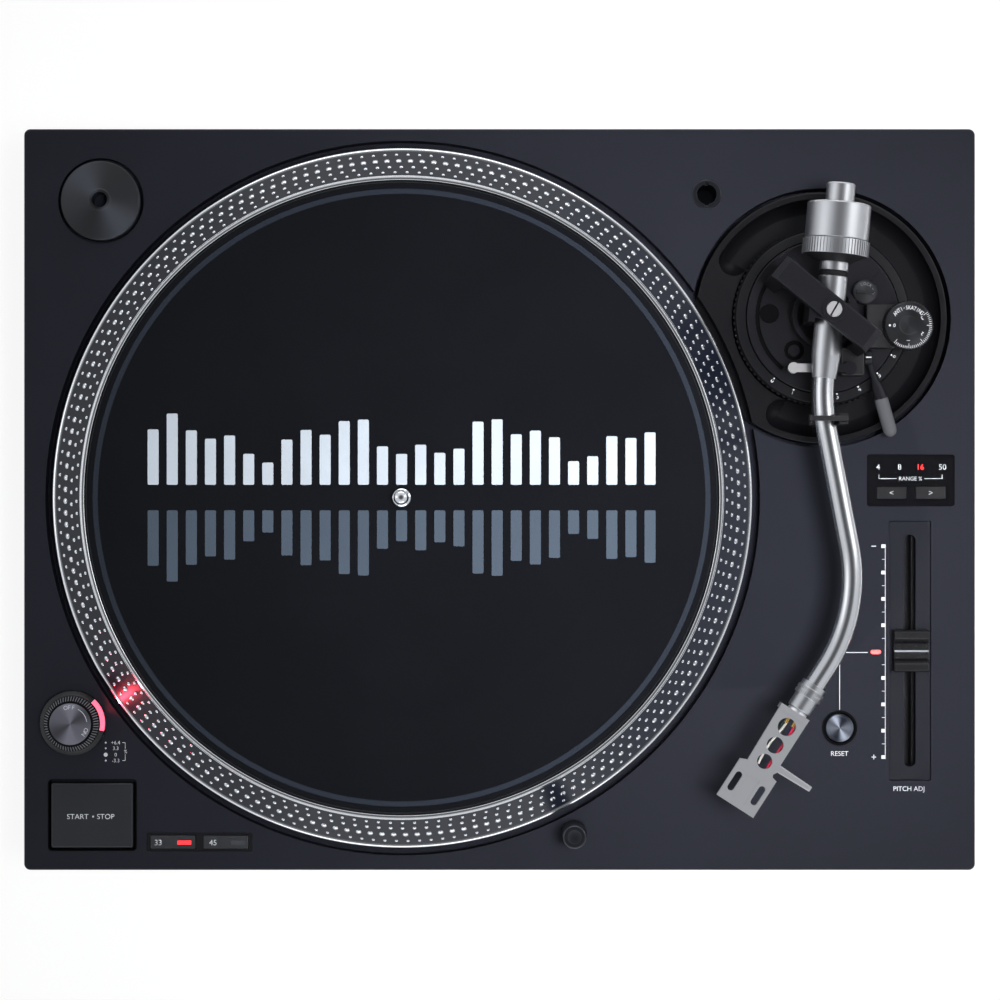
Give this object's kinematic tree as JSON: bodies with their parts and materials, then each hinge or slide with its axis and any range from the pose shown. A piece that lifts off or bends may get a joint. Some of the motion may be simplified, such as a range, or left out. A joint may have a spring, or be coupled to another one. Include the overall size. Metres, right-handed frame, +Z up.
{
  "type": "turntable",
  "caption": "Direct-drive record turntable: plinth with strobe platter and slipmat, S-shaped arm on a gimbal with height ring, lift and rest, pitch fader, start and speed buttons, pop-up light.",
  "frame": {"origin": "centre of the footprint, on the surface the feet stand on", "axes": "+Z up, +Y to the rear, +X to the arm's side, along the longest extent"},
  "size_m": [0.453, 0.353, 0.1506],
  "materials": {
    "deck": "die-cast, fine matte paint",
    "base": "matte",
    "platter": "turned, with a darker strobe band",
    "felt": "felt",
    "black_rubber": "matte",
    "magnet": "dull",
    "steel": "brushed",
    "brass": "plain",
    "gold": "gold-plated",
    "board": "circuit board",
    "black_plastic": "matte",
    "gloss_black": "gloss",
    "red_window": "clear red",
    "grey_button": "satin",
    "black_metal": "black anodised",
    "bright_metal": "satin",
    "chrome": "polished"
  },
  "bodies": {
    "chassis": {"plinth_top": "deck", "plinth_base": "base", "base_screws": "steel", "motor_stator": "steel", "spindle_bearing": "brass", "control_board": "board", "power_supply": "steel", "strobe_housing": "black_plastic", "strobe_window": "red_window", "speed_bezel": "black_plastic", "pitch_panel": "gloss_black", "fader_body": "black_plastic", "range_panel": "gloss_black", "light_sleeve": "black_metal", "shell_stand": "bright_metal", "arm_base_plate": "black_metal", "phono_jacks": "gold", "ground_terminal": "gold", "ac_inlet": "black_plastic"},
    "platter": {"platter": "platter", "platter_damper": "black_rubber", "rotor_magnet": "magnet", "spindle": "steel"},
    "slipmat": {"slipmat": "felt"},
    "arm_mount": {"arm_mount_plate": "black_metal", "gimbal_bridge": "black_metal", "arm_screws": "steel", "arm_rest": "black_plastic", "lift_block": "black_plastic", "anti_skate_box": "black_plastic"},
    "gimbal": {"gimbal_ring": "black_metal"},
    "arm": {"arm_housing": "bright_metal", "arm_tube": "bright_metal", "rear_stub": "bright_metal"},
    "headshell": {"headshell": "bright_metal", "finger_lift": "bright_metal", "shell_wires": "brass"},
    "start_stop_button": {"start_stop_button": "grey_button"},
    "reset_button": {"reset_button": "bright_metal"},
    "speed_button_33": {"speed_button_33": "grey_button"},
    "speed_button_45": {"speed_button_45": "grey_button"},
    "range_button_left": {"range_button_left": "grey_button"},
    "range_button_right": {"range_button_right": "grey_button"},
    "pitch_knob": {"pitch_knob": "black_plastic"},
    "power_knob": {"power_knob": "black_metal"},
    "target_light": {"target_light": "bright_metal"},
    "adapter_45": {"adapter_45": "bright_metal"},
    "height_ring": {"height_ring": "black_metal"},
    "lock_knob": {"lock_knob": "bright_metal"},
    "anti_skate_knob": {"anti_skate_knob": "black_metal"},
    "lift_lever": {"lift_lever": "chrome"},
    "lift_bar": {"lift_bar": "bright_metal"},
    "arm_clip": {"arm_clip": "black_plastic"},
    "counterweight": {"counterweight": "chrome"},
    "weight_dial": {"weight_dial": "black_metal"},
    "locking_nut": {"locking_nut": "chrome"},
    "foot_front_left": {"foot_front_left": "black_rubber"},
    "foot_front_right": {"foot_front_right": "black_rubber"},
    "foot_rear_left": {"foot_rear_left": "black_rubber"},
    "foot_rear_right": {"foot_rear_right": "black_rubber"}
  },
  "joints": [
    {"name": "platter_spin", "type": "hinge", "parent": "chassis", "child": "platter", "pos_m": [-0.0461, 0.0007, 0.105], "axis": [0, 0, 1], "continuous": true},
    {"name": "slipmat_slip", "type": "hinge", "parent": "platter", "child": "slipmat", "pos_m": [-0.0461, 0.0007, 0.105], "axis": [0, 0, 1], "continuous": true},
    {"name": "start_stop_press", "type": "slide", "parent": "chassis", "child": "start_stop_button", "axis": [0, 0, -1], "range_m": [0, 0.0015], "stiffness_N_per_m": 200, "springref_m": -0.001},
    {"name": "reset_press", "type": "slide", "parent": "chassis", "child": "reset_button", "axis": [0, 0, -1], "range_m": [0, 0.001], "stiffness_N_per_m": 200, "springref_m": -0.001},
    {"name": "speed_33_press", "type": "slide", "parent": "chassis", "child": "speed_button_33", "axis": [0, 0, -1], "range_m": [0, 0.001], "stiffness_N_per_m": 200, "springref_m": -0.001},
    {"name": "speed_45_press", "type": "slide", "parent": "chassis", "child": "speed_button_45", "axis": [0, 0, -1], "range_m": [0, 0.001], "stiffness_N_per_m": 200, "springref_m": -0.001},
    {"name": "range_left_press", "type": "slide", "parent": "chassis", "child": "range_button_left", "axis": [0, 0, -1], "range_m": [0, 0.0006], "stiffness_N_per_m": 200, "springref_m": -0.001},
    {"name": "range_right_press", "type": "slide", "parent": "chassis", "child": "range_button_right", "axis": [0, 0, -1], "range_m": [0, 0.0006], "stiffness_N_per_m": 200, "springref_m": -0.001},
    {"name": "pitch_slide", "type": "slide", "parent": "chassis", "child": "pitch_knob", "axis": [0, 1, 0], "range_m": [-0.05, 0.05]},
    {"name": "power_turn", "type": "hinge", "parent": "chassis", "child": "power_knob", "pos_m": [-0.2026, -0.1062, 0.1], "axis": [0, 0, 1], "range_deg": [0, 60]},
    {"name": "light_pop", "type": "slide", "parent": "chassis", "child": "target_light", "axis": [0, 0, -1], "range_m": [0, 0.024], "stiffness_N_per_m": 30, "springref_m": -0.02},
    {"name": "adapter_lift", "type": "slide", "parent": "chassis", "child": "adapter_45", "axis": [0, 0, 1], "range_m": [0, 0.03]},
    {"name": "height_turn", "type": "hinge", "parent": "chassis", "child": "height_ring", "pos_m": [0.1532, 0.0864, 0.092], "axis": [0, 0, 1], "range_deg": [0, 100]},
    {"name": "arm_height", "type": "slide", "parent": "chassis", "child": "arm_mount", "axis": [0, 0, 1], "range_m": [0, 0.006]},
    {"name": "lock_turn", "type": "hinge", "parent": "arm_mount", "child": "lock_knob", "pos_m": [0.1725, 0.0977, 0.1005], "axis": [0, 0, 1], "range_deg": [0, 90]},
    {"name": "skate_turn", "type": "hinge", "parent": "arm_mount", "child": "anti_skate_knob", "pos_m": [0.1918, 0.0813, 0.1105], "axis": [0, 0, -1], "range_deg": [0, 300]},
    {"name": "lever_turn", "type": "hinge", "parent": "arm_mount", "child": "lift_lever", "pos_m": [0.17145, 0.0666, 0.108], "axis": [-1, 0, 0], "range_deg": [0, 60]},
    {"name": "lift_rise", "type": "slide", "parent": "arm_mount", "child": "lift_bar", "axis": [0, 0, 1], "range_m": [0, 0.004]},
    {"name": "clip_swing", "type": "hinge", "parent": "arm_mount", "child": "arm_clip", "pos_m": [0.15883, 0.0367, 0.1365], "axis": [0, 1, 0], "range_deg": [0, 100]},
    {"name": "arm_yaw", "type": "hinge", "parent": "arm_mount", "child": "gimbal", "pos_m": [0.1532, 0.0864, 0.131], "axis": [0, 0, -1], "range_deg": [0, 43]},
    {"name": "arm_pitch", "type": "hinge", "parent": "gimbal", "child": "arm", "pos_m": [0.1532, 0.0864, 0.131], "axis": [-0.996, 0.0889, 0], "range_deg": [0, 6]},
    {"name": "weight_travel", "type": "slide", "parent": "arm", "child": "counterweight", "axis": [0.0889, 0.996, 0], "range_m": [0, 0.006]},
    {"name": "dial_turn", "type": "hinge", "parent": "counterweight", "child": "weight_dial", "pos_m": [0.15587, 0.11628, 0.131], "axis": [0.0889, 0.996, 0], "range_deg": [0, 540]},
    {"name": "nut_turn", "type": "hinge", "parent": "arm", "child": "locking_nut", "pos_m": [0.13783, -0.09919, 0.131], "axis": [-0.5402, -0.8415, 0], "range_deg": [0, 90]},
    {"name": "shell_pull", "type": "slide", "parent": "arm", "child": "headshell", "axis": [-0.5402, -0.8415, 0], "range_m": [0, 0.018]},
    {"name": "foot_front_left_height", "type": "slide", "parent": "chassis", "child": "foot_front_left", "axis": [0, 0, -1], "range_m": [0, 0.008]},
    {"name": "foot_front_right_height", "type": "slide", "parent": "chassis", "child": "foot_front_right", "axis": [0, 0, -1], "range_m": [0, 0.008]},
    {"name": "foot_rear_left_height", "type": "slide", "parent": "chassis", "child": "foot_rear_left", "axis": [0, 0, -1], "range_m": [0, 0.008]},
    {"name": "foot_rear_right_height", "type": "slide", "parent": "chassis", "child": "foot_rear_right", "axis": [0, 0, -1], "range_m": [0, 0.008]}
  ],
  "couplings": [
    {"joint": "arm_height", "follows": "height_turn", "m_per_rad": 0.0034377},
    {"joint": "lever_turn", "follows": "lift_rise", "rad_per_m": 261.79},
    {"joint": "dial_turn", "follows": "weight_travel", "rad_per_m": 1570.8}
  ]
}
